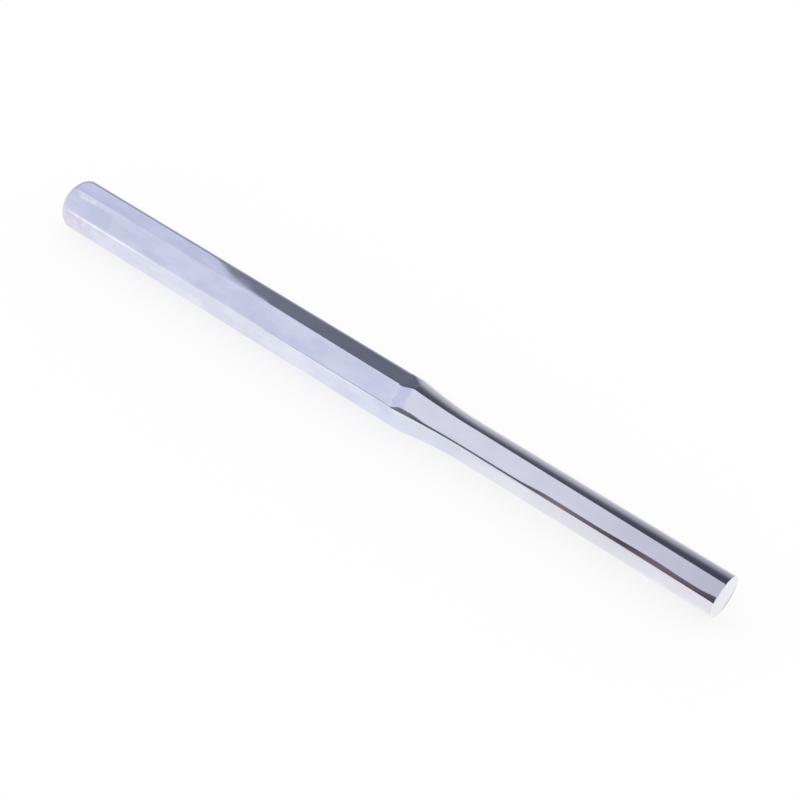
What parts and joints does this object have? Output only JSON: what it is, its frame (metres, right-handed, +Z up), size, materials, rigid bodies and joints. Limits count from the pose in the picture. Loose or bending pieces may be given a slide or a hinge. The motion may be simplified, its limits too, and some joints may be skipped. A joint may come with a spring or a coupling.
{
  "type": "pin punch",
  "caption": "Chrome-plated parallel pin punch: octagonal shank with a crowned struck head, swept shoulder and straight round pin for driving out pins.",
  "frame": {"origin": "on the surface that the punch lies on, under the middle of its length", "axes": "+X along the bar from the struck head to the tip, +Z up from the flat that it lies on"},
  "size_m": [0.15, 0.01, 0.01],
  "materials": {
    "satin_chrome": "chrome plate over forged flats, faintly uneven, soft reflections",
    "bright_chrome": "chrome plate over turned and polished steel, mirror bright"
  },
  "bodies": {
    "root": {"striking_head": "satin_chrome", "shank": "satin_chrome", "shoulder": "bright_chrome", "drive_pin": "bright_chrome"}
  },
  "joints": []
}
